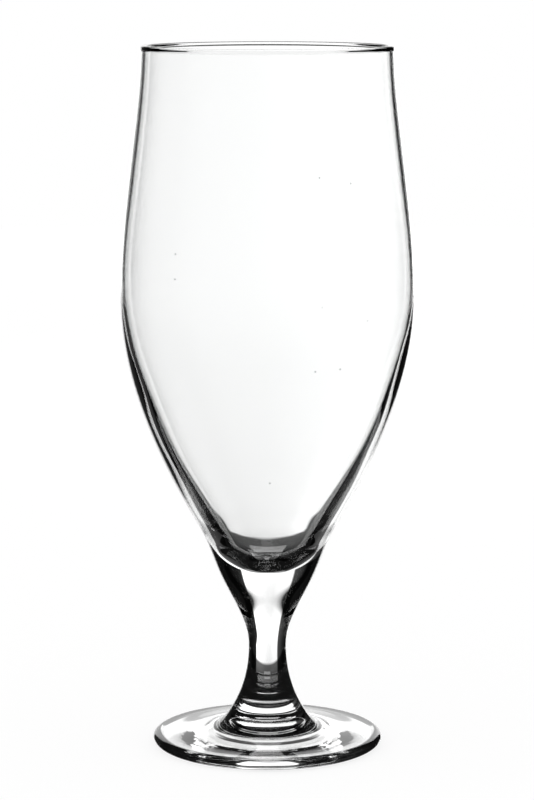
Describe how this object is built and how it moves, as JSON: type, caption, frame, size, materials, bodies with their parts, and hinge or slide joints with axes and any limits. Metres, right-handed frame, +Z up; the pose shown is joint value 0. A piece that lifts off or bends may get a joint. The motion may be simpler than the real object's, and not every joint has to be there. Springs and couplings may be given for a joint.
{
  "type": "beer glass",
  "caption": "Clear stemmed beer glass for serving lager: tulip bowl with a thick lower wall and a rounded, slightly swollen rim, short solid stem, round foot.",
  "frame": {"origin": "middle of the plane that the foot rests on", "axes": "+Z up along the glass's axis, from the foot to the rim; the glass is round, so X and Y are free"},
  "size_m": [0.077, 0.077, 0.185],
  "materials": {
    "glass": "clear polished soda-lime glass, fire-polished rim, IOR about 1.52"
  },
  "bodies": {
    "root": {"foot": "glass", "stem": "glass", "bowl": "glass"}
  },
  "joints": []
}
